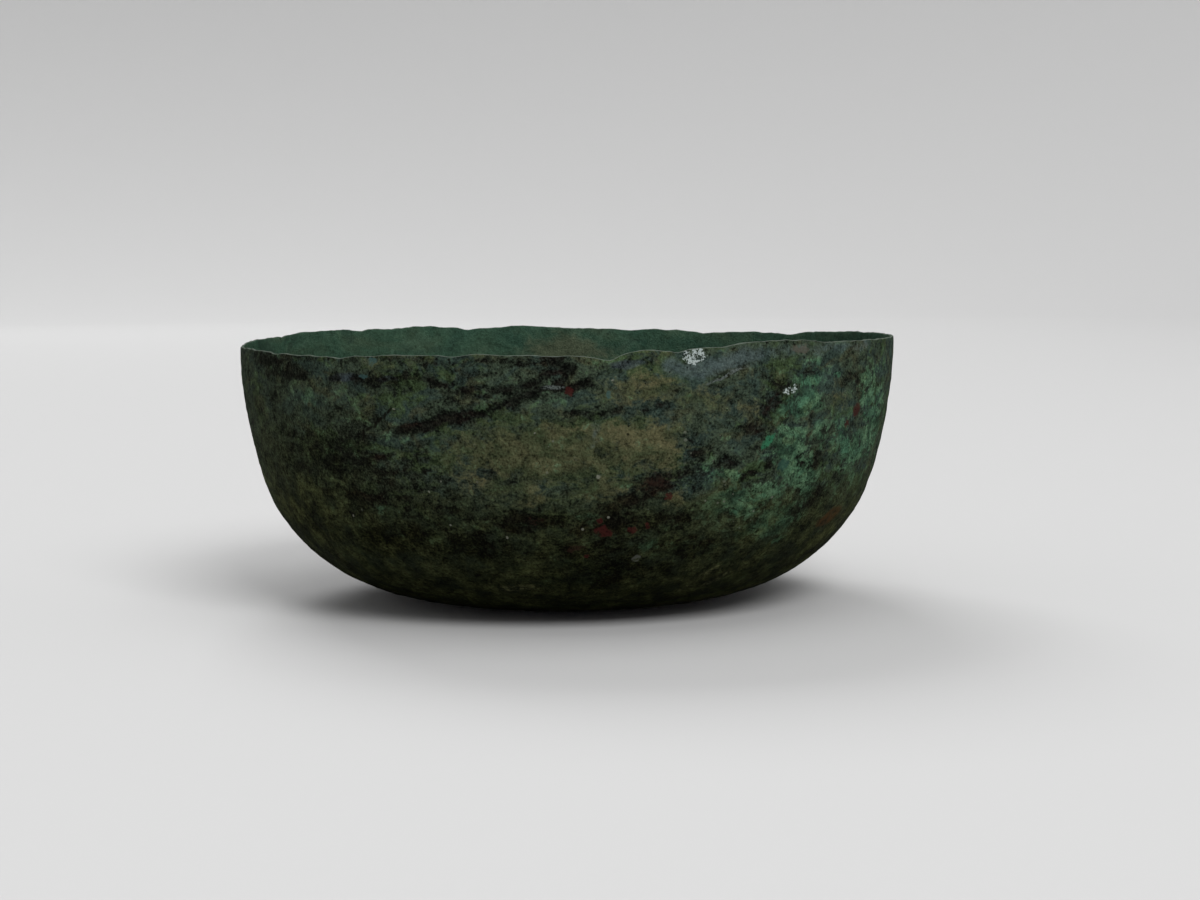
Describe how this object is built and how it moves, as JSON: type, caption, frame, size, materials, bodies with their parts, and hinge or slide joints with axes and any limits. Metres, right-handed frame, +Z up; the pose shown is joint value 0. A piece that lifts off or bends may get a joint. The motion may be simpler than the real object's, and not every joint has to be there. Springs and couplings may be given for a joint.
{
  "type": "hammered bowl",
  "caption": "Deep round-shouldered bowl raised from one copper sheet, with a thin uneven rim and a dark green patina.",
  "frame": {"origin": "middle of the flat spot under the bowl, on the surface it stands on", "axes": "+Z up through the mouth, -Y towards the side that the picture shows, +X to that side's right"},
  "size_m": [0.16, 0.16, 0.0654],
  "materials": {
    "patinated_copper": "matt"
  },
  "bodies": {
    "root": {"bowl": "patinated_copper"}
  },
  "joints": []
}
